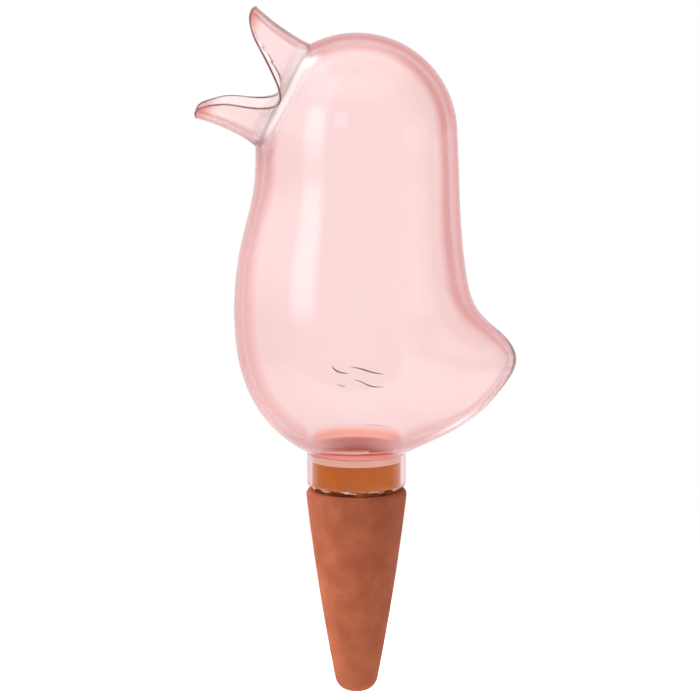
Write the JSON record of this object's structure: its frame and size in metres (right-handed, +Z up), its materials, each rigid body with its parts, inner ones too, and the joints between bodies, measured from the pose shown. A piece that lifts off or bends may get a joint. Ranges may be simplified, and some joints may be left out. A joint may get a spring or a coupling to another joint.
{
  "type": "watering globe",
  "caption": "Bird-shaped clear plastic watering globe with an open beak for filling, on a push-fit neck seal over a hollow porous clay spike that feeds water to potting soil.",
  "frame": {"origin": "on the spike's axis at the soil line, the widest level of the clay", "axes": "+Z up along the spike's axis to the bird's head, -X toward the beak, +X toward the tail, and the XZ plane is the plane of symmetry"},
  "size_m": [0.0798, 0.0572, 0.173],
  "materials": {
    "clear_pink_plastic": "clear tinted blow-moulded plastic, glossy",
    "amber_rubber": "translucent amber moulded rubber, satin",
    "terracotta": "unglazed low-fired porous clay, matt"
  },
  "bodies": {
    "spike": {"clay_spike": "terracotta"},
    "seal": {"neck_seal": "amber_rubber"},
    "bird": {"reservoir": "clear_pink_plastic", "beak": "clear_pink_plastic"}
  },
  "joints": [
    {"name": "bird_turn", "type": "hinge", "parent": "spike", "child": "seal", "pos_m": [0, 0, 0.0016], "axis": [0, 0, 1], "continuous": true},
    {"name": "bird_lift", "type": "slide", "parent": "seal", "child": "bird", "axis": [0, 0, 1], "range_m": [0, 0.03]}
  ]
}
